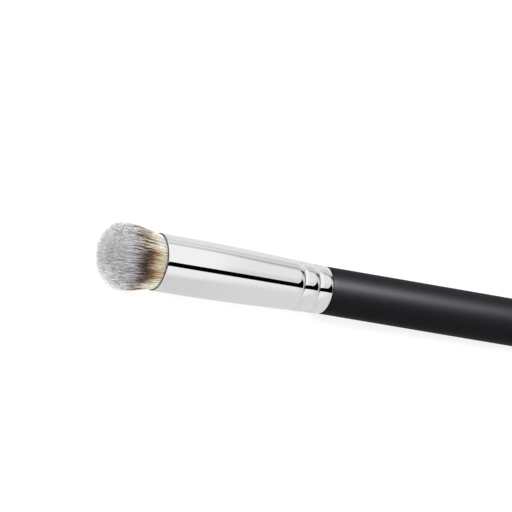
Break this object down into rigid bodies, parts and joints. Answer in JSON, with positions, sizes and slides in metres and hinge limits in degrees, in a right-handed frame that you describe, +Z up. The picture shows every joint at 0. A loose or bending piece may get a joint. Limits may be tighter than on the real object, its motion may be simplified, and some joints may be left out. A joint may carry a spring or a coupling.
{
  "type": "slanted makeup brush",
  "caption": "Round makeup brush lying on its side: dense slanted dome of banded synthetic hair, tapered bright metal ferrule with crimp grooves, satin black turned handle.",
  "frame": {"origin": "on the surface that the brush lies on, under the middle of the brush's length and width", "axes": "+X runs along the brush from the head to the butt, +Z is up as the brush lies on a table, and the long side of the slanted head points up and towards -Y"},
  "size_m": [0.1614, 0.0154, 0.0153],
  "materials": {
    "handle_lacquer": "satin black lacquer over turned hardwood",
    "ferrule_metal": "bright polished",
    "hair": "fine synthetic filament, cream at the lip, dark brown in a narrow band, grey-white at the tips",
    "epoxy": "cured clear amber resin",
    "thread": "waxed cotton",
    "glue": "dried wood glue"
  },
  "bodies": {
    "root": {"handle": "handle_lacquer", "ferrule": "ferrule_metal", "bristles": "hair", "epoxy_plug": "epoxy", "binding_thread": "thread", "tenon_glue": "glue"}
  },
  "joints": []
}
